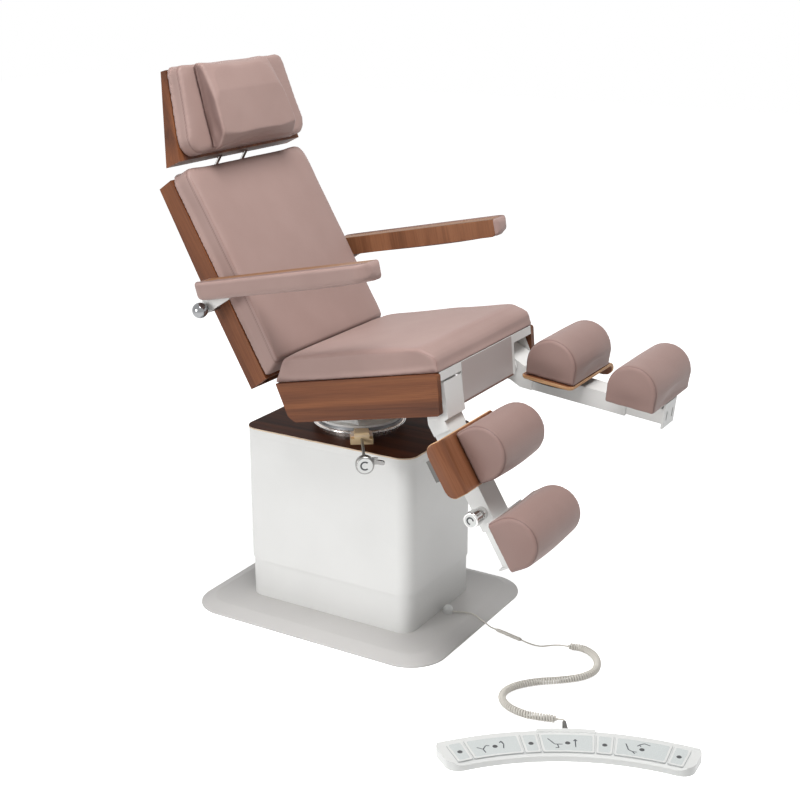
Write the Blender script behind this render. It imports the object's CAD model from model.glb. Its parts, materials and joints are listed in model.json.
"""The looks of a podiatry chair: cushions, walnut boards, white steel, small fittings and the foot control.

Lengths are millimetres in the frame of the part they belong to. A Place turns them into metres in the chair's
own frame: +X the chair's front, +Y the sitter's left, +Z up, origin under the column.
"""

import json
import logging
import math
from dataclasses import dataclass, field
from enum import Enum
from typing import Callable, Optional, Sequence

import bpy
import numpy as np
from mathutils import Matrix, Vector
from mathutils.bvhtree import BVHTree

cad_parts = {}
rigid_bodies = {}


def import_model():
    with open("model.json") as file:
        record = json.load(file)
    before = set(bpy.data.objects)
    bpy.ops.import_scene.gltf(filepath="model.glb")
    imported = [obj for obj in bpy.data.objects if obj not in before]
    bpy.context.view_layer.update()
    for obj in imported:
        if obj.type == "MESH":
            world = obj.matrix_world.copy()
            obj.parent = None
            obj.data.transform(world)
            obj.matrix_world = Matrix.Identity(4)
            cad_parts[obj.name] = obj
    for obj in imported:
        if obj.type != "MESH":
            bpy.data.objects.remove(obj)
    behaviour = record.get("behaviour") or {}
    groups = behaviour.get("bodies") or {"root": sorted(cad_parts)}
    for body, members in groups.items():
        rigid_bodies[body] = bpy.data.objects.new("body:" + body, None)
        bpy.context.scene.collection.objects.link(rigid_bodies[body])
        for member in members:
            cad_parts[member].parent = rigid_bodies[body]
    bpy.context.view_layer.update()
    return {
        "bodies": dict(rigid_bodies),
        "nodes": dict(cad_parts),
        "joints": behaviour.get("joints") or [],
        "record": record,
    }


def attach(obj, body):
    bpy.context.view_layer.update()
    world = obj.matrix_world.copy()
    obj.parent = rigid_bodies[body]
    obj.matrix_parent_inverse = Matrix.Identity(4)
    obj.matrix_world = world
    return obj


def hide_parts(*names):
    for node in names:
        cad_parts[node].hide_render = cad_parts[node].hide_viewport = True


LOG = logging.getLogger("podiatry_chair")
MM = 0.001
TINY = 1e-9
SMOOTH = 180.0

Colour = tuple[float, float, float]
Field = Callable[[np.ndarray], np.ndarray]
Skin = tuple[np.ndarray, list]
Finish = bpy.types.Material
Socket = bpy.types.NodeSocket
Piece = bpy.types.Object


class Side(Enum):
    """The sitter's side that an armrest or a leg support belongs to."""

    RIGHT = "right"
    LEFT = "left"


# Places


def lean_matrix(angle: float) -> np.ndarray:
    """A turn about the chair's cross axis: x' = x cos a + z sin a, z' = z cos a - x sin a.

    Args:
        angle: the turn in degrees; a positive one dips the front.
    Returns:
        The 3 by 3 matrix.
    """
    c, s = math.cos(math.radians(angle)), math.sin(math.radians(angle))
    return np.array([[c, 0.0, s], [0.0, 1.0, 0.0], [-s, 0.0, c]])


def turn_matrix(angle: float) -> np.ndarray:
    """A turn about the upright axis by an angle in degrees."""
    c, s = math.cos(math.radians(angle)), math.sin(math.radians(angle))
    return np.array([[c, -s, 0.0], [s, c, 0.0], [0.0, 0.0, 1.0]])


@dataclass(frozen=True)
class Place:
    """A frame of the chair: where its origin lies in millimetres and how its axes point."""

    origin: np.ndarray = field(default_factory=lambda: np.zeros(3))
    axes: np.ndarray = field(default_factory=lambda: np.eye(3))

    def then(self, shift: Sequence[float], lean: float = 0.0, turn: float = 0.0) -> "Place":
        """A frame set out from this one.

        Args:
            shift: the new origin in this frame.
            lean: how far the new frame leans forward, in degrees.
            turn: how far it turns about its upright axis, in degrees.
        Returns:
            The new frame.
        """
        spun = self.axes @ lean_matrix(lean) @ turn_matrix(turn)
        return Place(self.origin + self.axes @ np.array(shift, float), spun)

    def mirrored(self) -> "Place":
        """The same frame with its cross axis turned round."""
        return Place(self.origin, self.axes @ np.diag([1.0, -1.0, 1.0]))

    def out(self, points: np.ndarray) -> np.ndarray:
        """Points of this frame, in metres in the chair's frame."""
        return (np.asarray(points, float) @ self.axes.T + self.origin) * MM

    def into(self, points: np.ndarray) -> np.ndarray:
        """Points in metres in the chair's frame, in millimetres of this frame."""
        return (np.asarray(points, float) / MM - self.origin) @ self.axes

    def angles(self) -> tuple[float, float, float]:
        """The turn, as Euler angles, that takes the chair's axes back to this frame's."""
        axes = self.axes if np.linalg.det(self.axes) > 0 else self.mirrored().axes
        rows = [[float(v) for v in row] for row in axes.T]
        return tuple(Matrix(rows).to_euler())


CHAIR = Place()
SEAT = CHAIR.then((0, 0, 640), lean=-12)
BACK = SEAT.then((-90, 0, 52), lean=-18)
HEAD = BACK.then((54, 0, 632), lean=14)
FOOT = CHAIR.then((1163, -1035, 0), turn=118.3)
CLAMP = CHAIR.then((0, 0, 0), turn=-55.5)
LEG_LEAN = {Side.LEFT: 18, Side.RIGHT: 71}


def arm_place(side: Side) -> Place:
    """The frame at an armrest's pivot, with its cross axis pointing outwards."""
    place = SEAT.then((-212, 0, 292))
    return place if side is Side.LEFT else place.mirrored()


def leg_place(side: Side) -> Place:
    """The frame at a leg support's pin, with X along its tube and its cross axis pointing outwards."""
    place = SEAT if side is Side.LEFT else SEAT.mirrored()
    return place.then((392, 201, -16), lean=LEG_LEAN[side])


# Outlines and surfaces


def unit(rows: np.ndarray, least: float = 1e-12) -> np.ndarray:
    """Rows brought to a length of one."""
    return rows / np.maximum(np.linalg.norm(rows, axis=1, keepdims=True), least)


def lengths(line: np.ndarray) -> np.ndarray:
    """How far along an open line each of its points lies."""
    return np.concatenate([[0], np.cumsum(np.linalg.norm(np.diff(line, axis=0), axis=1))])


def rounding(distance: np.ndarray, reach: float) -> np.ndarray:
    """The share that a quarter circle cuts off: one at an edge, nought past the reach."""
    left = 1 - np.clip(distance / reach, 0, 1)
    return 1 - np.sqrt(np.clip(1 - left**2, 0, 1))


def rounded(points: Sequence[Sequence[float]], radii: Sequence[float], steps: int = 8) -> np.ndarray:
    """A closed outline whose corners are arcs that touch both of their sides.

    Args:
        points: the corners in order, counter-clockwise.
        radii: the radius at each corner.
        steps: how many steps each arc has.
    Returns:
        The outline as an array of points.
    """
    p = np.array(points, float)
    out = []
    for i, r in enumerate(radii):
        a, b, c = p[i - 1], p[i], p[(i + 1) % len(p)]
        if r <= 0:
            out.append(b[None])
            continue
        u, v = (a - b) / np.linalg.norm(a - b), (c - b) / np.linalg.norm(c - b)
        half = math.acos(float(np.clip(u @ v, -1, 1))) / 2
        centre = b + (u + v) / np.linalg.norm(u + v) * r / math.sin(half)
        start, end = b + u * r / math.tan(half) - centre, b + v * r / math.tan(half) - centre
        first, last = math.atan2(start[1], start[0]), math.atan2(end[1], end[0])
        sweep = (last - first + math.pi) % (2 * math.pi) - math.pi
        at = first + sweep * np.linspace(0, 1, steps + 1)
        out.append(centre + r * np.stack([np.cos(at), np.sin(at)], axis=1))
    return np.concatenate(out)


def box(x: tuple[float, float], y: tuple[float, float], radii: Sequence[float], steps: int = 8) -> np.ndarray:
    """A rounded rectangle, counter-clockwise from its lowest corner."""
    return rounded([(x[0], y[0]), (x[1], y[0]), (x[1], y[1]), (x[0], y[1])], radii, steps)


def evenly(outline: np.ndarray, count: int, closed: bool = True) -> np.ndarray:
    """The same line walked in equal steps, by interpolating its points over its own length.

    Args:
        outline: the line's points.
        count: how many points the result has.
        closed: whether its end joins its start.
    Returns:
        The evenly spaced points.
    """
    line = np.concatenate([outline, outline[:1]]) if closed else outline
    along = lengths(line)
    at = np.linspace(0, along[-1], count + 1)[:-1] if closed else np.linspace(0, along[-1], count)
    return np.stack([np.interp(at, along, line[:, k]) for k in range(line.shape[1])], axis=1)


def outward(outline: np.ndarray) -> np.ndarray:
    """Unit normals of a counter-clockwise outline: each point's tangent turned by a right angle."""
    tangent = np.roll(outline, -1, axis=0) - np.roll(outline, 1, axis=0)
    return unit(np.stack([tangent[:, 1], -tangent[:, 0]], axis=1), TINY)


def smooth_way(points: Sequence[Sequence[float]], steps: int) -> np.ndarray:
    """A Catmull-Rom curve: a cubic whose slope at each point is half the chord of its neighbours.

    Args:
        points: the points that the curve goes through.
        steps: how many steps each stretch has.
    Returns:
        The curve's points.
    """
    p = np.array(points, float)
    p = np.concatenate([2 * p[:1] - p[1:2], p, 2 * p[-1:] - p[-2:-1]])
    t = np.linspace(0, 1, steps, endpoint=False)[None, :, None]
    a, b, c, d = (p[k : len(p) - 3 + k, None] for k in range(4))
    square, cube = (2 * a - 5 * b + 4 * c - d) * t**2, (3 * b - a - 3 * c + d) * t**3
    curve = (2 * b + (c - a) * t + square + cube) / 2
    return np.concatenate([curve.reshape(-1, p.shape[1]), p[-2:-1]])


def ring_faces(rings: int, sides: int) -> np.ndarray:
    """Quads between neighbouring rings of a grid whose rings are closed."""
    i, k = np.meshgrid(np.arange(rings - 1), np.arange(sides), indexing="ij")
    j = (k + 1) % sides
    quads = [i * sides + k, i * sides + j, (i + 1) * sides + j, (i + 1) * sides + k]
    return np.stack(quads, axis=-1).reshape(-1, 4)


def lofted(rings: np.ndarray) -> Skin:
    """A closed skin over rings of points, each end drawn together in a pole at the ring's mean.

    Args:
        rings: the points, rings by sides by three.
    Returns:
        The vertices and the faces.
    """
    n, m, _ = rings.shape
    points = np.concatenate([rings.reshape(-1, 3), rings[:1].mean(axis=1), rings[-1:].mean(axis=1)])
    k = np.arange(m)
    j = (k + 1) % m
    first = np.stack([np.full(m, n * m), j, k], axis=1)
    last = np.stack([np.full(m, n * m + 1), (n - 1) * m + k, (n - 1) * m + j], axis=1)
    return points, ring_faces(n, m).tolist() + first.tolist() + last.tolist()


def tube_rings(way: np.ndarray, radius: np.ndarray | float, sides: int) -> np.ndarray:
    """Circles of the given radius round each point of a way, square to its slope.

    Args:
        way: the way's points.
        radius: one radius, or one for each point.
        sides: how many points each circle has.
    Returns:
        The rings.
    """
    slope = unit(np.gradient(way, axis=0))
    fixed = np.eye(3)[int(np.argmin(np.abs(slope).mean(axis=0)))]
    across = unit(np.cross(fixed, slope))
    up = np.cross(slope, across)
    at = np.linspace(0, 2 * math.pi, sides, endpoint=False)
    r = np.broadcast_to(np.asarray(radius, float), (len(way),))[:, None, None]
    circle = np.cos(at)[None, :, None] * across[:, None] + np.sin(at)[None, :, None] * up[:, None]
    return way[:, None] + r * circle


def carried_round(outline: np.ndarray, profile: np.ndarray) -> np.ndarray:
    """A profile carried round an outline.

    Args:
        outline: the plan, counter-clockwise.
        profile: for each ring, how far it is drawn in from the outline and how high it lies.
    Returns:
        The rings.
    """
    flat = outline[None] - outward(outline)[None] * profile[:, None, :1]
    return np.concatenate([flat, np.broadcast_to(profile[:, None, 1:], flat.shape[:2] + (1,))], axis=2)


def slab_rings(outline: np.ndarray, low: float, high: float, bevel: float) -> np.ndarray:
    """A board: the outline drawn in by the bevel at both faces, along a quarter circle at each edge.

    Args:
        outline: the board's plan, counter-clockwise.
        low: the height of its lower face.
        high: the height of its upper face.
        bevel: the radius of its edges.
    Returns:
        The rings as an array.
    """
    at = np.linspace(0, math.pi / 2, 4)
    edge, rise, face = bevel * (1 - np.sin(at)), bevel * (1 - np.cos(at)), [bevel + 0.5]
    drawn = np.concatenate([face, edge, edge[::-1], face])
    level = np.concatenate([[low], low + rise, high - rise[::-1], [high]])
    return carried_round(outline, np.column_stack([drawn, level]))


def inside_out(points: np.ndarray, faces: list) -> bool:
    """Whether a closed skin encloses a negative volume, summed over its faces cut into triangles."""
    fan = np.array([[f[0], f[i], f[i + 1]] for f in faces for i in range(1, len(f) - 1)])
    a, b, c = (points[fan[:, k]] for k in range(3))
    return bool(np.einsum("ij,ij->i", a, np.cross(b, c)).sum() < 0)


def make(name: str, points: np.ndarray, faces: list, sharp: float = 40.0) -> Piece:
    """Puts a closed skin into the scene, its faces outwards.

    Args:
        name: the piece's name.
        points: the vertices in metres.
        faces: the faces; they are turned round together where the enclosed volume comes out negative.
        sharp: the angle in degrees past which an edge stays sharp.
    Returns:
        The object, at the origin, unturned and unscaled.
    """
    p = np.asarray(points, float)
    if inside_out(p, faces):
        faces = [f[::-1] for f in faces]
    mesh = bpy.data.meshes.new(name)
    mesh.from_pydata(p.tolist(), [], faces)
    mesh.update()
    shade_smooth(mesh)
    if sharp < SMOOTH:
        mesh.set_sharp_from_angle(angle=math.radians(sharp))
    piece = bpy.data.objects.new(name, mesh)
    bpy.context.scene.collection.objects.link(piece)
    return piece


def shade_smooth(mesh: bpy.types.Mesh) -> None:
    """Shades every face of a mesh smoothly."""
    mesh.polygons.foreach_set("use_smooth", np.ones(len(mesh.polygons), bool))


def solid(name: str, rings: np.ndarray, place: Place = CHAIR, sharp: float = 40.0) -> Piece:
    """A closed skin over rings given in a place."""
    points, faces = lofted(rings)
    return make(name, place.out(points), faces, sharp)


def several(name: str, parts: Sequence[Skin], place: Place, sharp: float = 40.0) -> Piece:
    """Several closed skins as one piece, each turned outwards for itself.

    Args:
        name: the piece's name.
        parts: the points and faces of each skin, in the place.
        place: the frame they are given in.
        sharp: the angle past which an edge stays sharp.
    Returns:
        The object.
    """
    points, faces, count = [], [], 0
    for p, f in parts:
        q = place.out(p)
        step = -1 if inside_out(q - q.mean(axis=0), f) else 1
        faces += [[v + count for v in one[::step]] for one in f]
        points.append(q)
        count += len(q)
    return make(name, np.concatenate(points), faces, sharp)


# Finishes


def linear(red: float, green: float, blue: float) -> tuple[float, float, float, float]:
    """A colour as seen, 0 to 255, in the linear values that a shader takes."""
    c = np.array([red, green, blue]) / 255
    low, high = c / 12.92, ((c + 0.055) / 1.055) ** 2.4
    return (*(float(v) for v in np.where(c <= 0.04045, low, high)), 1.0)


def shaded(colour: Colour, share: float) -> tuple[float, float, float, float]:
    """A colour as seen, in linear values, darkened to a share of them."""
    return tuple(v * share for v in linear(*colour)[:3]) + (1.0,)


class Shader:
    """A node material under construction, with short calls for the nodes it is made of."""

    def __init__(self, name: str) -> None:
        """Starts a material that has one surface shader."""
        self.material = bpy.data.materials.new(name)
        self.material.use_nodes = True
        self.tree = self.material.node_tree
        self.tree.nodes.clear()
        self.out = self.tree.nodes.new("ShaderNodeOutputMaterial")
        self.face = self.tree.nodes.new("ShaderNodeBsdfPrincipled")
        self.tree.links.new(self.face.outputs["BSDF"], self.out.inputs["Surface"])
        self.where = self.tree.nodes.new("ShaderNodeTexCoord").outputs["Object"]

    def feed(self, socket: Socket, value: object) -> None:
        """Links a socket to another, or sets its value."""
        if isinstance(value, Socket):
            self.tree.links.new(value, socket)
        else:
            socket.default_value = value

    def node(self, kind: str, inputs: Optional[dict] = None, **settings: object) -> bpy.types.Node:
        """Adds a node.

        Args:
            kind: the node's type.
            inputs: values, or sockets to link, by input name.
            settings: the node's own settings.
        Returns:
            The node.
        """
        made = self.tree.nodes.new(kind)
        for key, value in settings.items():
            setattr(made, key, value)
        for key, value in (inputs or {}).items():
            self.feed(made.inputs[key], value)
        return made

    def set(self, **values: object) -> None:
        """Sets or links the surface shader's sockets; an underscore in a name stands for a blank."""
        for key, value in values.items():
            self.feed(self.face.inputs[key.replace("_", " ")], value)

    def along(self, angles: Sequence[float], stretch: Sequence[float]) -> Socket:
        """Object coordinates turned into a frame, then stretched along its axes."""
        turned = self.node("ShaderNodeMapping", {"Vector": self.where, "Rotation": tuple(angles)})
        scaled = self.node("ShaderNodeMapping", {"Vector": turned.outputs[0], "Scale": tuple(stretch)})
        return scaled.outputs[0]

    def noise(
        self, where: Socket, scale: float, detail: float = 4, rough: float = 0.5, warp: float = 0.0
    ) -> Socket:
        """A noise pattern's value at a place."""
        inputs = {"Vector": where, "Scale": scale, "Detail": detail, "Roughness": rough, "Distortion": warp}
        return self.node("ShaderNodeTexNoise", inputs).outputs["Fac"]

    def ramp(self, value: Socket, stops: Sequence[tuple[float, tuple]]) -> Socket:
        """A colour ramp over a value."""
        made = self.node("ShaderNodeValToRGB", {"Fac": value})
        band = made.color_ramp
        band.elements[0].position, band.elements[0].color = stops[0]
        band.elements[1].position, band.elements[1].color = stops[-1]
        for at, colour in stops[1:-1]:
            band.elements.new(at).color = colour
        return made.outputs["Color"]

    def blend(self, share: Socket | float, first: object, second: object, how: str = "MIX") -> Socket:
        """Mixes two colours by a share, through the mix node's sockets for colours, 6 and 7 in and 2 out."""
        made = self.node("ShaderNodeMix", {0: share, 6: first, 7: second}, data_type="RGBA", blend_type=how)
        return made.outputs[2]

    def spread(self, value: Socket, low: float, high: float) -> Socket:
        """Carries a value from nought to one over to another range."""
        return self.node("ShaderNodeMapRange", {"Value": value, "To Min": low, "To Max": high}).outputs[0]

    def bump(self, height: Socket, depth: float) -> None:
        """Gives the surface shader a relief of that depth in metres."""
        made = self.node("ShaderNodeBump", {"Height": height, "Distance": depth, "Strength": 1.0})
        self.set(Normal=made.outputs[0])


@dataclass(frozen=True)
class Leatherette:
    """Dusty pink coated cloth: a fine pebble, faint clouding, and seams that gather shade."""

    name: str = "upholstery"
    colour: Colour = (165, 138, 131)
    cloud: Colour = (160, 133, 126)
    seam: Colour = (104, 77, 72)
    shade: float = 0.75
    relief: float = 0.00012

    def material(self) -> Finish:
        """Builds the node material."""
        s = Shader(self.name)
        cloud = s.ramp(s.noise(s.where, 9, 3), [(0.3, linear(*self.cloud)), (0.7, linear(*self.colour))])
        mark = s.node("ShaderNodeAttribute", attribute_name="seam").outputs["Fac"]
        s.set(Base_Color=s.blend(s.spread(mark, 0.0, self.shade), cloud, linear(*self.seam)))
        grain = s.noise(s.where, 1500, 3, 0.6)
        s.set(Roughness=s.spread(grain, 0.46, 0.6), Specular_IOR_Level=0.34)
        s.set(Sheen_Weight=0.12, Sheen_Roughness=0.5)
        cells = {"Vector": s.where, "Scale": 1300.0, "Randomness": 1.0}
        pebble = s.node("ShaderNodeTexVoronoi", cells, feature="SMOOTH_F1").outputs["Distance"]
        s.bump(s.blend(0.5, pebble, grain), self.relief)
        return s.material


@dataclass(frozen=True)
class Timber:
    """Oiled veneer: long streaks, slow bands and fine dark pores along the grain."""

    name: str
    angles: tuple[float, float, float]
    along: int = 0
    light: Colour = (145, 90, 55)
    middle: Colour = (118, 69, 41)
    dark: Colour = (82, 45, 27)
    bands: float = 26.0
    gloss: float = 0.46
    shine: float = 0.25

    def material(self) -> Finish:
        """Builds the node material with the grain running along the chosen axis of the frame."""
        s = Shader(self.name)
        slow, quick = [self.bands] * 3, [420.0] * 3
        slow[self.along], quick[self.along] = 1.1, 9.0
        wide = s.noise(s.along(self.angles, slow), 1, 5, 0.55, 0.6)
        fine = s.noise(s.along(self.angles, quick), 1, 4, 0.6)
        stops = [(0.28, linear(*self.dark)), (0.48, linear(*self.middle)), (0.72, linear(*self.light))]
        streak = s.ramp(fine, [(0.3, (0.5, 0.5, 0.5, 1)), (0.62, (1, 1, 1, 1))])
        s.set(Base_Color=s.blend(0.55, s.ramp(wide, stops), streak, "MULTIPLY"))
        s.set(Roughness=s.spread(fine, self.gloss + 0.1, self.gloss), Specular_IOR_Level=self.shine)
        s.set(Coat_Weight=self.shine / 5, Coat_Roughness=0.3)
        s.bump(fine, 0.00008)
        return s.material


@dataclass(frozen=True)
class PlyEdge:
    """The cut edge of plywood or a veneered board: thin glued layers seen end on, stacked along Z."""

    name: str
    angles: tuple[float, float, float] = (0.0, 0.0, 0.0)
    light: Colour = (214, 172, 130)
    dark: Colour = (168, 120, 80)
    stretch: tuple[float, float, float] = (14.0, 14.0, 620.0)

    def material(self) -> Finish:
        """Builds the node material."""
        s = Shader(self.name)
        layer = s.noise(s.along(self.angles, self.stretch), 1, 3, 0.5)
        s.set(Base_Color=s.ramp(layer, [(0.35, linear(*self.dark)), (0.6, linear(*self.light))]))
        s.set(Roughness=0.55, Specular_IOR_Level=0.3)
        s.bump(layer, 0.00005)
        return s.material


@dataclass(frozen=True)
class Coated:
    """Powder-coated or moulded surface: an even colour with slight clouding and a faint orange peel."""

    name: str
    colour: Colour
    gloss: float = 0.38
    peel: float = 0.00006
    pitch: float = 420.0
    shine: float = 0.45
    clouding: float = 0.012

    def material(self) -> Finish:
        """Builds the node material."""
        s = Shader(self.name)
        stops = [(0.35, shaded(self.colour, 1 - self.clouding * 2)), (0.65, linear(*self.colour))]
        s.set(Base_Color=s.ramp(s.noise(s.where, 6, 4), stops))
        peel = s.noise(s.where, self.pitch, 2, 0.4)
        s.set(Roughness=s.spread(peel, self.gloss - 0.05, self.gloss + 0.07), Specular_IOR_Level=self.shine)
        s.bump(peel, self.peel)
        return s.material


@dataclass(frozen=True)
class Metal:
    """Bare or plated metal with fine tool marks and faint handling smears."""

    name: str
    colour: Colour
    gloss: float = 0.14
    smear: float = 0.12
    marks: float = 0.00003
    pitch: float = 900.0

    def material(self) -> Finish:
        """Builds the node material."""
        s = Shader(self.name)
        stops = [(0.3, shaded(self.colour, 0.86)), (0.7, linear(*self.colour))]
        s.set(Base_Color=s.ramp(s.noise(s.where, 40, 3), stops), Metallic=1.0)
        s.set(Roughness=s.spread(s.noise(s.where, 60, 4), self.gloss, self.gloss + self.smear))
        s.bump(s.noise(s.where, self.pitch, 3, 0.6), self.marks)
        return s.material


class Finishes:
    """The chair's finishes, each built once."""

    def __init__(self) -> None:
        """Builds every finish that the chair has."""
        arm = arm_place(Side.LEFT).angles()
        self.woods(arm)
        self.upholstery = Leatherette().material()
        pads = Leatherette("upholstery_pads", (152, 125, 118), (147, 120, 113), (96, 70, 65))
        self.pad_cover = pads.material()
        for key, finish in {
            "white": Coated("white_enamel", (232, 232, 230)),
            "plate": Coated("plate_enamel", (198, 196, 194), gloss=0.45, peel=0.0001),
            "trim": Coated("trim_brown", (104, 74, 62), gloss=0.5),
            "panel": Coated("panel_film", (188, 177, 174), gloss=0.3, peel=0.00002),
            "white_plastic": Coated("white_plastic", (224, 225, 223), gloss=0.3, peel=0.00003, pitch=700.0),
            "field": Coated("field_film", (206, 211, 210), gloss=0.25, peel=0.00001),
            "field_rim": Coated("field_rim", (168, 172, 172), gloss=0.35),
            "ink": Coated("field_ink", (62, 66, 72), gloss=0.5),
            "button": Coated("button_grey", (78, 79, 80), gloss=0.5, peel=0.0001),
            "grey": Coated("grey_plastic", (112, 111, 108), gloss=0.45, peel=0.0001),
            "drive": Coated("drive_plastic", (64, 66, 68), gloss=0.5),
            "black": Coated("black_lens", (26, 25, 25), gloss=0.32, shine=0.5),
            "groove": Coated("groove_grey", (70, 72, 74), gloss=0.5),
            "cord": Coated("cord_grey", (206, 202, 194), gloss=0.5, peel=0.0001, pitch=1200.0),
            "chrome": Metal("chrome", (220, 219, 218), gloss=0.08, smear=0.1),
            "drum": Metal("drum_steel", (236, 226, 219), gloss=0.2, smear=0.15),
            "nickel": Metal("nickel", (150, 149, 147), gloss=0.22, smear=0.15),
            "ball": Metal("ball_chrome", (150, 151, 153), gloss=0.05, smear=0.05),
            "steel": Metal("mast_steel", (150, 152, 155), gloss=0.28, smear=0.2),
            "brass": Coated("brass", (246, 220, 176), gloss=0.32, peel=0.00004),
            "rose": Coated("clamp_top_plate", (250, 232, 220), gloss=0.3, peel=0.00002),
            "thread": Coated("seam_thread", (150, 116, 108), gloss=0.6, peel=0.0002, pitch=2500.0),
        }.items():
            setattr(self, key, finish.material())

    def woods(self, arm: tuple[float, float, float]) -> None:
        """Builds the boards' finishes, each with its grain in its own part's frame.

        Args:
            arm: the turn of the armrests' frame.
        """
        seat, clear = SEAT.angles(), (0.0, 0.0, 0.0)
        warm = {"light": (168, 116, 82), "middle": (140, 92, 62), "dark": (104, 66, 42)}
        pale = {"light": (158, 116, 82), "middle": (140, 99, 68), "dark": (114, 78, 52)}
        rolled = {"light": (151, 102, 74), "middle": (126, 78, 52), "dark": (97, 60, 38)}
        deep = {"light": (104, 56, 32), "middle": (80, 41, 22), "dark": (54, 26, 12)}
        self.seat_walnut = Timber("walnut_seat", seat).material()
        self.back_walnut = Timber("walnut_back", BACK.angles(), 2).material()
        self.head_walnut = Timber("walnut_head", HEAD.angles(), 2).material()
        self.arm_walnut = Timber("walnut_arms", arm, 2, bands=15.0, **warm).material()
        self.arm_top = Timber("veneer_arm_tops", arm, bands=30.0, **pale).material()
        self.cap_wood = Timber("cap_laminate", clear, gloss=0.5, shine=0.07, **deep).material()
        self.cap_edge = PlyEdge("cap_edge_band", clear, (232, 210, 184), (214, 186, 156)).material()
        self.birch = PlyEdge("birch_board", seat).material()
        self.wing_walnut, self.wing_edge = {}, {}
        for side in Side:
            turn = leg_place(side).angles()
            sheet = Timber(f"walnut_wing_{side.value}", turn, gloss=0.3, **rolled)
            self.wing_walnut[side] = sheet.material()
            self.wing_edge[side] = PlyEdge(f"ply_edge_{side.value}", turn).material()


class Workshop:
    """Sets pieces on their bodies with a finish, and keeps count of them."""

    def __init__(self, frame: dict, finishes: Finishes) -> None:
        """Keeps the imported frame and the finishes.

        Args:
            finishes: the chair's finishes.
        """
        self.nodes = frame["nodes"]
        self.finishes = finishes
        self.made = 0

    def place(self, piece: Piece, body: str, finish: Finish, slot: str, replaces: Sequence[str] = ()) -> Piece:
        """Gives a new piece its finish, its body and what it stands for.

        Args:
            piece: the piece, already in place.
            body: the body it moves with.
            finish: its material, unless it has its own already.
            slot: the record's slot that it takes its finish from.
            replaces: the solids that it stands for.
        Returns:
            The piece.
        """
        if not piece.data.materials:
            piece.data.materials.append(finish)
        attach(piece, body)
        if replaces:
            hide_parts(*replaces)
        self.made += 1
        LOG.info("piece %s on %s", piece.name, body)
        return piece

    def dress(self, finishes: dict[str, Finish]) -> None:
        """Gives carried-over solids their finishes."""
        for node, finish in finishes.items():
            data = self.nodes[node].data
            data.materials.clear()
            data.materials.append(finish)
            LOG.info("finish %s on %s", finish.name, node)


# Padded pieces


@dataclass(frozen=True)
class Pad:
    """A stuffed piece: an outline in one plane, a thickness across it, and how its skin is drawn.

    The surface runs over two parameters: round the outline, and across the thickness from the middle of one
    face to the middle of the other. At the edges it follows a quarter of a superellipse.
    """

    outline: np.ndarray
    low: Field
    high: Field
    edge_low: float
    edge_high: float
    swell: float
    order: tuple[int, int, int]

    def rings(self, sides: int = 200, faces: int = 12, walls: int = 14) -> np.ndarray:
        """The surface as rings of points in the pad's frame.

        Args:
            sides: points round the outline.
            faces: rings over each face.
            walls: rings over the side between them, an even number.
        Returns:
            The rings.
        """
        line = evenly(self.outline, sides)
        normal, middle = outward(line), line.mean(axis=0)
        low, high = self.low(line), self.high(line)
        half = (high - low) / 2
        rings = []
        for share in np.linspace(0.04, 1, faces, endpoint=False):
            flat = middle + (line - normal * self.edge_low - middle) * share
            rings.append(np.column_stack([flat, self.low(flat)]))
        for angle in np.linspace(-math.pi / 2, math.pi / 2, walls):
            edge = self.edge_low if angle < 0 else self.edge_high
            drawn = edge * (abs(math.cos(angle)) ** 0.5 - 1)
            reach = np.clip(edge / np.maximum(half, 1e-6), 0.05, 1)
            rise = np.sign(angle) * (1 - (1 - abs(math.sin(angle))) * reach)
            flat = line + normal * (drawn + self.swell * math.cos(angle) ** 2)
            rings.append(np.column_stack([flat, low + half * (1 + rise)]))
        for share in np.linspace(1, 0.04, faces + 1)[1:]:
            flat = middle + (line - normal * self.edge_high - middle) * share
            rings.append(np.column_stack([flat, self.high(flat)]))
        return np.array(rings)[:, :, list(self.order)]


@dataclass(frozen=True)
class Seam:
    """A sewn line: where a measure over the pad's frame is zero, how wide and how deep it is drawn in."""

    measure: Field
    width: float = 1.4
    depth: float = 1.0


def apply_modifiers(piece: Piece) -> None:
    """Makes what a piece's modifiers show its own mesh, and takes the modifiers off."""
    shown = piece.evaluated_get(bpy.context.evaluated_depsgraph_get())
    mesh = bpy.data.meshes.new_from_object(shown)
    old, piece.data = piece.data, mesh
    piece.modifiers.clear()
    bpy.data.meshes.remove(old)


def refine(piece: Piece) -> None:
    """Subdivides a piece's skin once."""
    smooth = piece.modifiers.new("fine", "SUBSURF")
    smooth.levels = smooth.render_levels = 1
    apply_modifiers(piece)


def rows(items: Sequence, key: str, width: int, kind: type = np.float32) -> np.ndarray:
    """One property of every item of a mesh, a row for each."""
    values = np.zeros(len(items) * width, kind)
    items.foreach_get(key, values)
    return values.reshape(-1, width)


def vertices(piece: Piece) -> np.ndarray:
    """A piece's own vertices as an array."""
    return rows(piece.data.vertices, "co", 3).astype(float)


def move_to(piece: Piece, points: np.ndarray) -> None:
    """Puts a piece's vertices where an array says."""
    piece.data.vertices.foreach_set("co", np.asarray(points, np.float32).ravel())
    piece.data.update()


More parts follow.
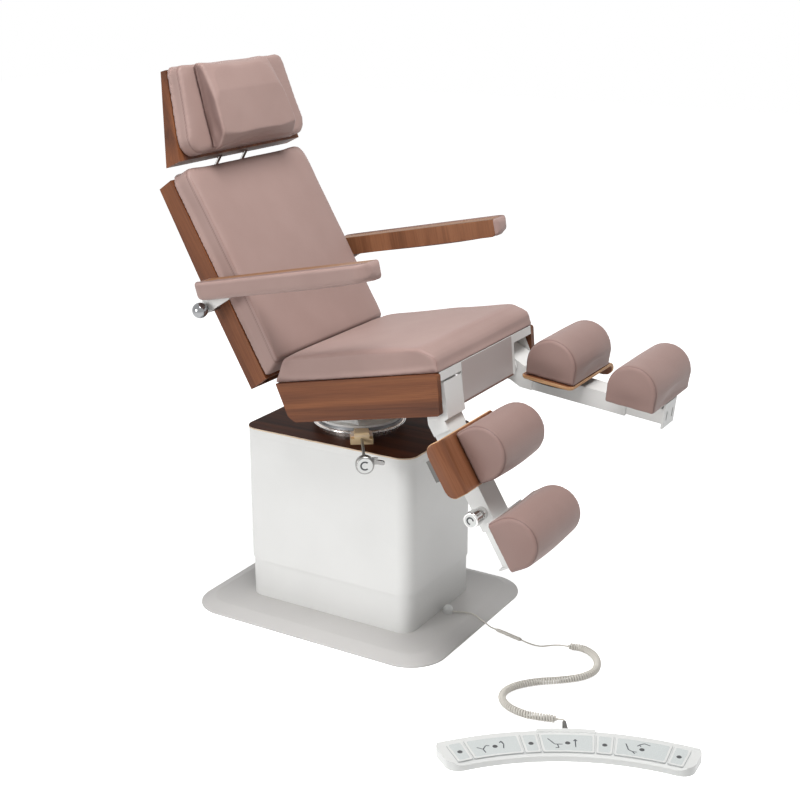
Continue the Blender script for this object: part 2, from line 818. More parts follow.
@dataclass(frozen=True)
class Stuffing:
    """How a pad is blown up as cloth: the skin's voxels, how far a point may move, and how that is evened."""

    voxel: float = 5.0
    cap: float = 6.0
    pressure: float = 4.0
    frames: int = 20
    rounds: int = 60
    free_above: float = 15.0

    def evened(self, piece: Piece, step: np.ndarray) -> np.ndarray:
        """Evens a move out: each round halves a point's move and adds half of its neighbours' mean.

        Args:
            piece: the pad.
            step: the move of each of its points.
        Returns:
            The evened moves.
        """
        first, second = rows(piece.data.edges, "vertices", 2, np.int32).T
        size = len(step)
        count = np.bincount(first, minlength=size) + np.bincount(second, minlength=size)
        count = np.maximum(count, 1)[:, None]
        for _ in range(self.rounds):
            near = [
                np.bincount(first, step[second, k], size) + np.bincount(second, step[first, k], size)
                for k in range(3)
            ]
            step = step / 2 + np.stack(near, axis=1) / count / 2
        return step

    def blown(self, piece: Piece) -> np.ndarray:
        """Where the pad's points are after it has been blown up as cloth."""
        scene = bpy.context.scene
        scene.frame_set(1)
        cloth = piece.modifiers.new("stuffing", "CLOTH")
        cloth.settings.quality = 4
        cloth.settings.mass = 0.4
        cloth.settings.use_pressure = True
        cloth.settings.uniform_pressure_force = self.pressure
        cloth.settings.effector_weights.gravity = 0
        cloth.collision_settings.use_collision = False
        cloth.point_cache.frame_start, cloth.point_cache.frame_end = 1, self.frames
        for number in range(1, self.frames + 1):
            scene.frame_set(number)
        shown = piece.evaluated_get(bpy.context.evaluated_depsgraph_get())
        after = rows(shown.data.vertices, "co", 3).astype(float)
        piece.modifiers.clear()
        scene.frame_set(1)
        return after

    def fill(self, piece: Piece, place: Place, rest: Field, room: tuple) -> None:
        """Remeshes a pad, blows it up, keeps it on its board and inside its room, and smooths it once.

        Each point moves by the cloth's own displacement, evened over the skin and cut to the cap, times a
        share that grows from none at the board to all of it a little way above.

        Args:
            piece: the pad.
            place: the pad's frame.
            rest: how far a point in that frame is from the board.
            room: the lowest and highest corner that it may reach in that frame.
        """
        remesh = piece.modifiers.new("skin", "REMESH")
        remesh.mode, remesh.voxel_size, remesh.use_smooth_shade = "VOXEL", self.voxel * MM, True
        apply_modifiers(piece)
        before = vertices(piece)
        after = self.blown(piece)
        step = self.evened(piece, (after - before) / MM)
        far = np.linalg.norm(step, axis=1, keepdims=True)
        step *= np.minimum(1, self.cap / np.maximum(far, 1e-6))
        local = place.into(before)
        free = np.clip(rest(local) / self.free_above, 0, 1)[:, None]
        moved = local + (step @ place.axes) * free * free * (3 - 2 * free)
        move_to(piece, place.out(np.clip(moved, room[0], room[1])))
        refine(piece)


def sew(piece: Piece, place: Place, seams: Sequence[Seam], wrinkle: float) -> None:
    """Draws a pad's seams in along its normals and marks them in an attribute for its material.

    A seam's depth falls off as a bell curve of its measure over its width; a slow wave over the pad's frame
    keeps the skin from being machine flat.

    Args:
        piece: the pad.
        place: the pad's frame.
        seams: its seams.
        wrinkle: how deep the slow waves are.
    """
    local = place.into(vertices(piece))
    normal = rows(piece.data.vertex_normals, "vector", 3).astype(float) @ place.axes
    mark, move = np.zeros(len(local)), np.zeros(len(local))
    for seam in seams:
        off = seam.measure(local)
        line = np.exp(-((off / seam.width) ** 2))
        pillow = np.exp(-((off / (seam.width * 5)) ** 2))
        mark = np.maximum(mark, line)
        move -= seam.depth * (line + 0.35 * pillow)
    pace, start = np.array([0.061, 0.047, 0.055]), np.array([1.3, 0.4, 2.1])
    move += wrinkle * np.sin(local * pace + start).prod(axis=1)
    move_to(piece, place.out(local + normal * move[:, None]))
    attribute = piece.data.attributes.new("seam", "FLOAT", "POINT")
    attribute.data.foreach_set("value", mark.astype(np.float32))
    shade_smooth(piece.data)


@dataclass(frozen=True)
class Cushion:
    """A padded piece, from its skin to its seams, and the solid that it stands for.

    Without stuffing its skin is only subdivided.
    """

    name: str
    body: str
    node: str
    place: Place
    rings: np.ndarray
    seams: Sequence[Seam]
    fill: float
    stuffing: Optional[Stuffing] = None
    rest: Optional[Field] = None
    room: tuple = ()
    wrinkle: float = 0.25

    def build(self, shop: Workshop, finish: Finish) -> Piece:
        """Args:
            shop: the workshop that sets it in place.
            finish: its cover.
        Returns:
            The pad.
        """
        piece = solid(self.name, self.rings, self.place, SMOOTH)
        if self.stuffing:
            self.stuffing.fill(piece, self.place, self.rest, self.room)
        else:
            refine(piece)
        sew(piece, self.place, self.seams, self.wrinkle)
        shop.place(piece, self.body, finish, "upholstery", (self.node,))
        return piece


def stitched(name: str, cover: Piece, place: Place, way: np.ndarray) -> Piece:
    """Short threads laid along a way on a cover, each a small six-sided spindle sunk a little in the skin.

    Args:
        name: the piece's name.
        cover: the padded piece that carries them.
        place: the way's frame.
        way: the way's points in that frame.
    Returns:
        The threads as one piece.
    """
    pitch, size, half_thick, sunk, sides, rings = 6.5, 4.2, 0.55, 0.2, 6, 5
    mesh = cover.data
    tree = BVHTree.FromPolygons([v.co for v in mesh.vertices], [p.vertices for p in mesh.polygons])
    line = evenly(way, max(2, int(lengths(way)[-1] / pitch)), closed=False)
    found = [tree.find_nearest(Vector(p)) for p in place.out(line)]
    up = np.array([f[1] for f in found])
    at = np.array([f[0] for f in found]) + up * sunk * MM
    slope = unit(np.gradient(at, axis=0), TINY)
    across = np.cross(up, slope)
    stations = np.linspace(-1, 1, rings)
    thick = half_thick * MM * np.sqrt(np.clip(1 - stations**2 * 0.85, 0, 1))
    turn = np.linspace(0, 2 * math.pi, sides, endpoint=False)
    ring = np.cos(turn)[:, None, None] * across + np.sin(turn)[:, None, None] * up
    reach = stations[:, None, None, None] * size / 2 * MM * slope
    points = (at + reach + thick[:, None, None, None] * ring[None]).transpose(2, 0, 1, 3)
    ends = [np.arange(sides)[::-1], (rings - 1) * sides + np.arange(sides)]
    one = ring_faces(rings, sides).tolist() + [end.tolist() for end in ends]
    faces = [[v + k * rings * sides for v in face] for k in range(len(points)) for face in one]
    return make(name, points.reshape(-1, 3), faces, SMOOTH)


def knob_face(
    shop: Workshop, name: str, body: str, place: Place, centre: tuple, axis: int, size: tuple
) -> None:
    """A pale disc on a round knob's end, and an open arc on it.

    Args:
        shop: the workshop that sets them in place.
        name: the pieces' name.
        body: the body they move with.
        place: the frame that the knob is given in.
        centre: the middle of the knob's end in that frame.
        axis: which axis of the frame the knob turns about.
        size: the disc's radius, and the direction in degrees in which the arc is open.
    """
    radius, open_at = size
    lift, points = 0.7, 40
    turn = np.linspace(0, 2 * math.pi, 64, endpoint=False)
    order = [[2, 0, 1], [0, 2, 1], [0, 1, 2]][axis]
    plan = radius * np.column_stack([np.cos(turn), np.sin(turn)])
    disc = slab_rings(plan, -0.2, 0.6, 0.4)
    bow = np.radians(open_at + np.linspace(50, 310, points))
    way = np.column_stack([np.cos(bow), np.sin(bow), np.zeros(points)]) * radius * 0.52
    arc = tube_rings(way + [0, 0, lift], 2.1, 10)
    arc[..., 2] = lift + (arc[..., 2] - lift) * 0.25
    finishes = shop.finishes
    for part, rings, finish in (("face", disc, finishes.white_plastic), ("arc", arc, finishes.groove)):
        piece = solid(f"{name}_{part}", rings[:, :, order] + np.array(centre), place)
        shop.place(piece, body, finish, "chrome")


def level(value: float) -> Field:
    """A height that is the same everywhere."""
    return lambda p: np.full(len(p), float(value))


# Camera, light and floor


class Studio:
    """The camera at the photograph's angle, plain soft lamps, and a pale floor that keeps the shadow."""

    lens = 63.56
    eye = (1.972, -3.098, 1.798)
    tilt, swing = 71.7743, 30.7401
    world_light = 0.22
    floor_half = 12.0
    floor_tones = (0.84, 0.86)
    floor_glow = 0.82

    def camera(self) -> None:
        """Places the camera that was solved from the photograph's straight edges."""
        data = bpy.data.cameras.new("camera")
        data.lens, data.sensor_width, data.clip_end = self.lens, 36.0, 50.0
        eye = bpy.data.objects.new("camera", data)
        eye.location = self.eye
        eye.rotation_euler = (math.radians(self.tilt), 0.0, math.radians(self.swing))
        bpy.context.scene.collection.objects.link(eye)
        bpy.context.scene.camera = eye

    def lamp(
        self, name: str, spot: tuple, aim: tuple, size: float, power: float, spread: float = 180
    ) -> None:
        """A square soft lamp that looks at a point, with the angle in degrees that it lights."""
        data = bpy.data.lights.new(name, "AREA")
        data.shape, data.size, data.energy, data.spread = "SQUARE", size, power, math.radians(spread)
        light = bpy.data.objects.new(name, data)
        light.location = spot
        light.rotation_euler = (Vector(aim) - Vector(spot)).to_track_quat("-Z", "Y").to_euler()
        bpy.context.scene.collection.objects.link(light)

    def light(self) -> None:
        """A big lamp nearly overhead, a weaker one low on the left, and an even world."""
        self.lamp("key", (-1.3, -3.5, 1.4), (0.2, 0.0, 0.3), 1.6, 12, 75)
        self.lamp("top", (1.1, -0.9, 4.3), (0.0, 0.0, 0.8), 2.0, 150)
        world = bpy.data.worlds.new("studio")
        world.use_nodes = True
        bpy.context.scene.world = world
        tree = world.node_tree
        tree.nodes.clear()
        mix, out = tree.nodes.new("ShaderNodeMixShader"), tree.nodes.new("ShaderNodeOutputWorld")
        tree.links.new(self.seen_directly(tree), mix.inputs[0])
        for index, strength in ((1, self.world_light), (2, 1.0)):
            sky = tree.nodes.new("ShaderNodeBackground")
            sky.inputs["Color"].default_value, sky.inputs["Strength"].default_value = (1, 1, 1, 1), strength
            tree.links.new(sky.outputs[0], mix.inputs[index])
        tree.links.new(mix.outputs[0], out.inputs["Surface"])

    def seen_directly(self, tree: bpy.types.NodeTree) -> Socket:
        """One for a ray from the camera, a reflection or through glass, and nought for any other."""
        path = tree.nodes.new("ShaderNodeLightPath")
        total = path.outputs["Is Camera Ray"]
        for name in ("Is Glossy Ray", "Is Transmission Ray"):
            add = tree.nodes.new("ShaderNodeMath")
            add.operation = "MAXIMUM"
            tree.links.new(total, add.inputs[0])
            tree.links.new(path.outputs[name], add.inputs[1])
            total = add.outputs[0]
        return total

    def floor(self) -> None:
        """A wide pale floor: what falls on it, plus an even glow that only sight lines see."""
        a = self.floor_half
        mesh = bpy.data.meshes.new("floor")
        mesh.from_pydata([(-a, -a, 0), (a, -a, 0), (a, a, 0), (-a, a, 0)], [], [(0, 1, 2, 3)])
        plane = bpy.data.objects.new("floor", mesh)
        bpy.context.scene.collection.objects.link(plane)
        shader = Shader("studio_floor")
        low, high = ((tone, tone, tone, 1) for tone in self.floor_tones)
        shader.set(Base_Color=shader.ramp(shader.noise(shader.where, 3, 2), [(0.3, low), (0.7, high)]))
        shader.set(Roughness=1.0, Specular_IOR_Level=0.0)
        seen = self.seen_directly(shader.tree)
        amount = shader.node("ShaderNodeMath", {0: seen, 1: self.floor_glow}, operation="MULTIPLY")
        glow = shader.node("ShaderNodeEmission", {"Color": (1, 1, 1, 1), "Strength": amount.outputs[0]})
        both = shader.node("ShaderNodeAddShader", {0: shader.face.outputs[0], 1: glow.outputs[0]})
        shader.feed(shader.out.inputs["Surface"], both.outputs[0])
        mesh.materials.append(shader.material)

    def build(self) -> None:
        """Sets the studio up."""
        bpy.context.scene.view_settings.view_transform = "Standard"
        self.camera()
        self.light()
        self.floor()


# Cord


@dataclass(frozen=True)
class CordSet:
    """The foot control's cord: a thin lead from the gland, a sleeve on it, a curly stretch and a relief."""

    lead: float = 4.6
    wire: float = 5.6
    sleeve: float = 10.0
    curl: float = 20.0
    curls: int = 95
    turn_points: int = 16
    start: tuple = (
        (298.3, 0, 26), (306, 2, 25.5), (318, 12, 24), (334, 19, 23), (350, 20, 23),
        (370, 20, 16), (390, 17, 9), (410, 10, 4), (434, 0, 6),
    )
    sleeve_way: tuple = ((434, 0, 6), (462, -6, 6), (490, -13, 6), (518, -19, 6))
    middle: tuple = (
        (518, -19, 6), (545, -23, 4), (575, -22, 4), (600, -10, 7.5), (621.5, -1, 10.2), (640.9, 3.97, 10.2),
    )
    curl_way: tuple = (
        (641, 4), (680, 14), (718, -2), (746, -38), (756, -83), (740, -127), (704, -165), (656, -204),
        (620, -247), (606, -287), (614, -322), (645, -350), (690, -361), (732, -355), (776, -342),
    )
    end: tuple = (
        (776.1, -341.97, 10.2), (783.5, -340, 10.8), (788.6, -341, 11.4), (791.2, -344.4, 11.8),
        (792.97, -347.72, 12),
    )

    def coil(self) -> np.ndarray:
        """The wire's own way: a circle carried along the centre line, that swells from it and back."""
        line = evenly(smooth_way(self.curl_way, 24), 4000, closed=False)
        line = np.column_stack([line, np.full(len(line), self.curl / 2 + 0.2)])
        share = np.linspace(0, 1, self.curls * self.turn_points + 1)
        span = (len(line) - 1) * (0.006 + 0.988 * share)
        centre = np.stack([np.interp(span, np.arange(len(line)), line[:, k]) for k in range(3)], axis=1)
        across = np.cross([0, 0, 1], unit(np.gradient(centre, axis=0)))
        reach = (self.curl - self.wire) / 2 * np.minimum(1, np.minimum(share, 1 - share) * self.curls)
        turn = 2 * math.pi * self.curls * share
        circle = np.cos(turn)[:, None] * across + np.sin(turn)[:, None] * np.array([0, 0, 1.0])
        return centre + reach[:, None] * circle

    def build(self, shop: Workshop) -> None:
        """Args:
            shop: the workshop that sets them in place.
        """
        ways = [smooth_way(self.start, 8)[:-1], smooth_way(self.sleeve_way, 6)[:-1]]
        first = np.concatenate([*ways, smooth_way(self.middle, 8)])
        stretches = [(first, self.lead), (self.coil(), self.wire), (smooth_way(self.end, 8), self.lead)]
        way = np.concatenate([points for points, _ in stretches]) * MM
        thick = np.concatenate([np.full(len(points), size) for points, size in stretches])
        data = bpy.data.curves.new("foot_control_cord", "CURVE")
        data.dimensions, data.bevel_depth = "3D", self.wire / 2 * MM
        data.bevel_resolution, data.use_fill_caps = 2, True
        spline = data.splines.new("POLY")
        spline.points.add(len(way) - 1)
        spline.points.foreach_set("co", np.column_stack([way, np.ones(len(way))]).astype(np.float32).ravel())
        spline.points.foreach_set("radius", (thick / self.wire).astype(np.float32))
        cord = bpy.data.objects.new("foot_control_cord", data)
        bpy.context.scene.collection.objects.link(cord)
        finish = shop.finishes.cord
        shop.place(cord, "base", finish, "cord_grey", ("cord_lead", "curly_cord"))
        line = evenly(smooth_way(self.sleeve_way, 12), 40, closed=False)
        share = np.linspace(0, 1, 40)
        radius = self.sleeve / 2 * np.clip(np.minimum(share, 1 - share) * 12 + 0.55, 0, 1)
        sleeve = solid("cord_sleeve_cover", tube_rings(line, radius, 24))
        shop.place(sleeve, "base", finish, "cord_grey", ("cord_sleeve",))


# Column and base


@dataclass(frozen=True)
class Column:
    """The floor plate, the covers, the wooden cap and the fittings on them."""

    plate: tuple[float, float, float] = (776.0, 616.0, 105.0)
    thick: float = 20.0
    bevel: float = 40.0
    edge: float = 5.0
    cover: tuple[float, float, float] = (530.0, 360.0, 44.0)
    inner: tuple[float, float, float] = (523.2, 353.2, 40.6)
    inner_high: float = 385.0
    board: tuple[float, float, float] = (531.0, 361.0, 44.5)
    cap_low: float = 499.0
    board_low: float = 517.2
    cap_high: float = 521.0
    block_high: float = 544.2
    band: tuple = (
        (0.02, 0.2), (0.5, 0.4), (0.7, 0.8), (0.7, 3.0), (0.4, 3.6),
        (-0.5, 3.86), (-0.9, 3.86), (-0.9, 3.6), (-0.4, 3.2), (-0.4, 0.4),
    )

    def plan(self, length: float, width: float, radius: float, count: int = 240) -> np.ndarray:
        """A rectangle with round corners, counter-clockwise, in even steps."""
        x, y = length / 2, width / 2
        return evenly(box((-x, x), (-y, y), [radius] * 4, 24), count)

    def base(self, shop: Workshop) -> None:
        """The floor plate: an upright edge, a long bevel with small roundings at its ends, a flat top."""
        b, e, t = self.bevel, self.edge, self.thick
        profile = np.array([
            (0.6, 0.0), (0.0, 0.6), (0.0, e - 1.6), (0.3, e - 0.4), (1.6, e + 0.45), (4.0, e + 1.4),
            (b * 0.5, 12.7), (b - 5, 18.1), (b - 1.5, 19.3), (b + 2, 19.85), (b + 6, t), (b + 40, t),
        ])
        piece = solid("floor_plate", carried_round(self.plan(*self.plate), profile), sharp=60)
        shop.place(piece, "base", shop.finishes.plate, "white_enamel", ("base_plate",))

    def cap(self, shop: Workshop) -> None:
        """The top: a white skirt in line with the cover, a thin dark board, and a light edge band."""
        f = shop.finishes
        skirt = slab_rings(self.plan(*self.cover), self.cap_low + 0.05, self.board_low, 0.3)
        shop.place(solid("cap_skirt", skirt, sharp=50), "lift", f.white, "white_enamel")
        board = slab_rings(self.plan(*self.board), self.board_low, self.cap_high, 0.4)
        shop.place(solid("cap_board", board, sharp=50), "lift", f.cap_wood, "cap_laminate", ("top_cap",))
        profile = np.array(self.band) * [-1, 1] + [0, self.board_low]
        rings = carried_round(self.plan(*self.board, 200), profile).transpose(1, 0, 2)
        count, sides, _ = rings.shape
        faces = ring_faces(count + 1, sides) % (count * sides)
        piece = make("cap_edge_band", CHAIR.out(rings.reshape(-1, 3)), faces.tolist(), 35)
        shop.place(piece, "lift", f.cap_edge, "birch")

    def clamp(self, shop: Workshop) -> None:
        """The plate on the clamp's block, the knob's face and the lever's blade."""
        f = shop.finishes
        top = slab_rings(box((129, 169), (-29, 29), [3] * 4), 0, 1.2, 0.4) + [0, 0, self.block_high]
        shop.place(solid("clamp_top_plate", top, CLAMP), "lift", f.rose, "brass")
        knob_face(shop, "clamp_knob", "clamp_screw", CLAMP, (364.0, 0, 535.0), 0, (19.5, 0))
        outline = evenly(rounded([(16, 529), (50, 524), (53, 534), (16, 541)], [2, 4, 5, 2], 6), 80)
        blade = slab_rings(outline, 325.5, 335.5, 1.2)[:, :, [2, 0, 1]]
        shop.place(solid("clamp_lever", blade, CLAMP), "clamp_screw", f.nickel, "chrome")

    def build(self, shop: Workshop) -> None:
        """Dresses the column and adds its new pieces."""
        self.base(shop)
        self.cap(shop)
        f = shop.finishes
        inner = slab_rings(self.plan(*self.inner), self.thick + 0.05, self.inner_high, 0.5)
        piece = solid("inner_cover", inner, sharp=50)
        shop.place(piece, "base", f.white, "white_enamel", ("lower_cover",))
        self.clamp(shop)
        shop.dress({
            "upper_cover": f.white, "cable_gland": f.white_plastic, "lift_outer": f.steel,
            "lift_inner": f.steel, "cord_relief": f.grey, "turntable_base": f.drum,
            "turntable_plate": f.steel, "tilt_bracket": f.white, "clamp_band": f.chrome,
            "clamp_block": f.brass, "clamp_knob": f.nickel,
        })


# Seat


@dataclass(frozen=True)
class Seat:
    """The seat: a padded cushion with sewn-in side panels on a wooden box, and its steel front."""

    half: float = 266.0
    board: float = 71.0
    room: tuple = ((-92.0, -274.0, 71.0), (429.0, 274.0, 142.0))
    front_across: tuple[float, float] = (-144.0, 132.0)
    front_slope: float = 0.1238

    def profile(self) -> np.ndarray:
        """The cushion's side view: a leaning rear, a gently crowned top and a waterfall nose."""
        corners = [(-84, 71.2), (417, 71.2), (424, 104), (374, 128), (200, 133), (-46, 129)]
        return rounded(corners, [5, 9, 24, 46, 900, 12], 16)

    def cushion(self, shop: Workshop) -> None:
        """Stuffs the cushion, sews the lines that join its side panels to the top, and stitches them."""
        rings = Pad(self.profile(), level(-self.half), level(self.half), 9, 9, 0, (0, 2, 1)).rings()
        piece = Cushion(
            "seat_cushion_cover", "seat", "seat_cushion", SEAT, rings,
            [Seam(lambda p: np.abs(p[:, 1]) - 263.0, 1.5)], 0.85,
            Stuffing(6, 9), lambda p: p[:, 2] - self.board, self.room,
        ).build(shop, shop.finishes.upholstery)
        line = evenly(self.profile(), 400)
        top = line[line[:, 1] > 76]
        start = int(np.argmax(np.linalg.norm(np.diff(top, axis=0), axis=1))) + 1
        top = np.roll(top, -start, axis=0)
        for name, across in (("right", -259.5), ("left", 259.5)):
            way = np.column_stack([top[:, 0], np.full(len(top), across), top[:, 1]])
            threads = stitched(f"seat_stitches_{name}", piece, SEAT, way)
            shop.place(threads, "seat", shop.finishes.thread, "upholstery")

    def front(self, shop: Workshop) -> None:
        """A film on the steel front between the straps, and a dark trim along its lower edge.

        Both lean with the front, whose x grows with z by its slope.
        """
        for name, low, high, near, far, edge, finish in (
            ("front_film", -31.0, 70.5, 406.05, 406.7, 0.3, shop.finishes.panel),
            ("front_trim", -35.0, -30.8, 404.0, 408.6, 0.8, shop.finishes.trim),
        ):
            plan = evenly(box(self.front_across, (low, high), [1] * 4, 3), 120)
            rings = slab_rings(plan, near, far, edge)[:, :, [2, 0, 1]]
            rings[..., 0] += self.front_slope * rings[..., 2]
            shop.place(solid(name, rings, SEAT, 50), "seat", finish, "white_enamel")

    def build(self, shop: Workshop) -> None:
        """Dresses the seat."""
        self.cushion(shop)
        self.front(shop)
        f = shop.finishes
        shop.dress({
            "seat_frame": f.white, "seat_side_right": f.seat_walnut, "seat_side_left": f.seat_walnut,
            "seat_board": f.birch, "back_motor": f.drive,
        })


# Back and headrest


@dataclass(frozen=True)
class Back:
    """The reclining back: a boxed cushion on a walnut shell."""

    half: float = 266.0
    foot: float = 38.0
    tall: float = 580.0
    thick: float = 52.0
    crown: float = 9.0
    room: tuple = ((0.0, -274.0, 34.0), (72.0, 274.0, 622.0))

    def up(self, height: np.ndarray) -> np.ndarray:
        """How far up the cushion a height is, from nought to one."""
        return np.clip((height - self.foot) / self.tall, 0, 1)

    def face(self, p: np.ndarray) -> np.ndarray:
        """The cushion's front: crowned upwards as a sine and less so towards its sides."""
        across = np.clip(np.abs(p[:, 0]) / self.half, 0, 1)
        return self.thick + self.crown * np.sin(math.pi * self.up(p[:, 1])) * (1 - across**2 * 0.5)

    def cushion(self, shop: Workshop) -> None:
        """Stuffs the cushion, leans its foot to meet the seat, and sews its front to its boxing."""
        outline = box((-self.half, self.half), (self.foot, 616), [8, 8, 32, 32], 12)
        rings = Pad(outline, level(0.4), self.face, 4, 10, 1.5, (2, 0, 1)).rings(260)
        rings[..., 2] += 27 * rings[..., 0] / 55 * (1 - self.up(rings[..., 2])) ** 3
        piece = Cushion(
            "back_cushion_cover", "back", "back_cushion", BACK, rings,
            [Seam(lambda p: p[:, 0] - 46.5, 1.5, 1.1)], 0.85,
            Stuffing(6, 9), lambda p: p[:, 0], self.room,
        ).build(shop, shop.finishes.upholstery)
        line = evenly(box((-259, 259), (70, 609), [8, 8, 28, 28], 12), 600)
        way = np.column_stack([np.full(len(line), 58.0), line])
        threads = stitched("back_stitches", piece, BACK, np.concatenate([way, way[:1]]))
        shop.place(threads, "back", shop.finishes.thread, "upholstery")

    def build(self, shop: Workshop) -> None:
        """Dresses the back."""
        self.cushion(shop)
        shop.dress({"back_shell": shop.finishes.back_walnut, "back_hinge": shop.finishes.steel})


@dataclass(frozen=True)
class Headrest:
    """The headrest: a tapered cushion on a walnut wedge, and a loose pillow in front."""

    room: tuple = ((0.0, -272.0, 0.0), (48.0, 272.0, 243.0))
    pillow_room: tuple = ((47.2, -212.0, 8.0), (96.0, 212.0, 238.0))

    def cushion(self, shop: Workshop) -> None:
        """The flat cushion behind the pillow."""
        outline = rounded([(-265, 5), (265, 5), (227, 238), (-227, 238)], [42, 42, 24, 24], 12)
        rings = Pad(outline, level(0.4), level(39.0), 3, 8, 1.5, (2, 0, 1)).rings(220)
        Cushion(
            "headrest_cushion_cover", "headrest", "headrest_cushion", HEAD, rings,
            [Seam(lambda p: p[:, 0] - 33.0)], 0.8, Stuffing(), lambda p: p[:, 0], self.room,
        ).build(shop, shop.finishes.upholstery)

    def pillow(self, shop: Workshop) -> None:
        """The loose pillow: a boxed bag, flat in front, rounded below, with sides that lean inwards.

        Its side view is carried across from y = low(z) to y = high(z), both straight lines in z.
        """
        corners = [(48.4, 9), (66, 9), (92, 44), (89, 130), (72, 232), (48.4, 233)]
        inset = 3.5

        def low(p: np.ndarray) -> np.ndarray:
            return -186 + (p[:, 1] - 15) * 0.03

        def high(p: np.ndarray) -> np.ndarray:
            return 156 - (p[:, 1] - 15) * 0.19

        near = Seam(lambda p: p[:, 1] - low(p[:, 1:]) - inset, 1.5)
        far = Seam(lambda p: p[:, 1] - high(p[:, 1:]) + inset, 1.5)
        rings = Pad(rounded(corners, [6, 13, 19, 60, 16, 7], 14), low, high, 9, 9, 1.5, (0, 2, 1)).rings(220)
        Cushion(
            "head_pillow_cover", "headrest", "head_pillow", HEAD, rings, [near, far], 0.7,
            Stuffing(5, 9), lambda p: p[:, 0] - 47.3, self.pillow_room, 0.6,
        ).build(shop, shop.finishes.upholstery)

    def build(self, shop: Workshop) -> None:
        """Dresses the headrest."""
        self.cushion(shop)
        self.pillow(shop)
        shop.dress({"headrest_shell": shop.finishes.head_walnut, "headrest_rods": shop.finishes.chrome})


# Armrests


@dataclass(frozen=True)
class Armrest:
    """A folding armrest: a wooden angle, a pad that wraps its outer side and its ends, and a ball knob."""

    side: Side
    inner: float = 282.0
    top: float = 72.0
    tail: float = 2.0
    tip: float = 541.0
    low: float = 22.0
    wrap: float = 13.0
    half: float = 42.0
    bow: float = 40.0

    def section(self, cut: bool) -> np.ndarray:
        """The pad's section, with or without the room for the wooden angle.

        Args:
            cut: whether the wood's room is left open.
        Returns:
            The outline in the armrest's cross plane, in equal steps.
        """
        y, z, foot = self.inner, self.top, self.low - 1.5
        near, under = (y + 10.3, z - 9.7) if cut else (y + 0.5, z + 2.0)
        corners = [
            (near, foot), (y + 30, foot), (y + 79, 28.5), (y + 84, z + 1.5),
            (y + 64, z + 4.5), (y + 63.6, under), (near, under),
        ]
        radii = [2, 30, 16, 8, 2, 0, 0] if cut else [7, 30, 16, 8, 4, 0, 5]
        return evenly(rounded(corners, radii), 110)

    def pad_rings(self) -> np.ndarray:
        """The pad: its section carried along the armrest, closed over the wood's ends, and rounded there.

        The outside is drawn in by half of the width along a quarter circle near each end, the inside by the
        same rule over the wrap, and the height shrinks over the last twelve millimetres.
        """
        ends = self.bow * (1 - np.cos(np.linspace(0.1, math.pi / 2, 26)))
        near = np.unique(np.concatenate([ends, [self.wrap - 0.2, self.wrap + 0.2]]))
        straight = np.linspace(self.tail + 46, self.tip - 46, 56)
        at = np.concatenate([self.tail + near, straight, self.tip - near[::-1]])
        off = np.minimum(at - self.tail, self.tip - at)
        line = np.where((off > self.wrap)[:, None, None], self.section(True)[None], self.section(False)[None])
        y, z = line[..., 0], line[..., 1]
        middle, centre = self.inner + self.half, (self.top + self.low) / 2
        outside = np.clip((y - middle + 10) / (self.half + 8), 0, 1)
        inside = np.clip((middle - 10 - y) / (self.half - 12), 0, 1) * (off < self.wrap)[:, None]
        under = np.clip((centre - z) / 24, 0, 1)
        round_end = rounding(off, self.bow)[:, None]
        rise = 6 * np.clip((at - self.tip + 160) / 160, 0, 1) ** 2 + 0.8 * np.sin(at / 70)
        y = y - self.half * round_end * outside + 20 * rounding(off, self.wrap)[:, None] * inside
        z = centre + (z - centre) * (1 - 0.7 * rounding(off, 12))[:, None] + 10 * round_end * under * outside
        z = z + rise[:, None] * under
        return np.stack([np.broadcast_to(at[:, None], y.shape), y, z], axis=2)

    def wood(self, shop: Workshop) -> None:
        """The wooden angle with rounded ends, and the lighter veneer on its top."""
        place, s, f = arm_place(self.side), self.side.value, shop.finishes
        low, high, y, z = self.tail + self.wrap, self.tip - self.wrap, self.inner, self.top
        board = rounded([(low, self.low), (high, self.low + 3), (high, z), (low, z)], [4, 10, 5, 3])
        upright = slab_rings(evenly(board, 240), y, y + 10, 0.8)[:, :, [0, 2, 1]]
        plan = evenly(box((low, high), (y + 9.9, y + 63.4), [0.5, 0.5, 27, 27], 10), 240)
        flat = slab_rings(plan, z - 9.6, z, 0.4)
        angle = several(f"armrest_angle_{s}", [lofted(upright), lofted(flat)], place, 50)
        shop.place(angle, f"armrest_{s}", f.arm_walnut, "walnut", (f"armrest_wood_{s}",))
        cover = evenly(box((low + 1, high - 1), (y + 0.6, y + 63.2), [1, 4, 26, 26], 10), 240)
        strip = solid(f"armrest_top_{s}", slab_rings(cover, z + 0.02, z + 0.6, 0.25), place, 50)
        shop.place(strip, f"armrest_{s}", f.arm_top, "walnut")

    def build(self, shop: Workshop) -> None:
        """Makes the armrest's pieces and dresses its solids."""
        s, f = self.side.value, shop.finishes
        seam = Seam(lambda p: p[:, 2] - self.top + 4.0 - 0.02 * p[:, 1], 1.2, 0.4)
        Cushion(
            f"armrest_pad_cover_{s}", f"armrest_{s}", f"armrest_pad_{s}", arm_place(self.side),
            self.pad_rings(), [seam], 0.8, wrinkle=0.5,
        ).build(shop, f.upholstery)
        self.wood(shop)
        shop.dress({f"armrest_bracket_{s}": f.white, f"armrest_knob_{s}": f.ball})


# Leg supports


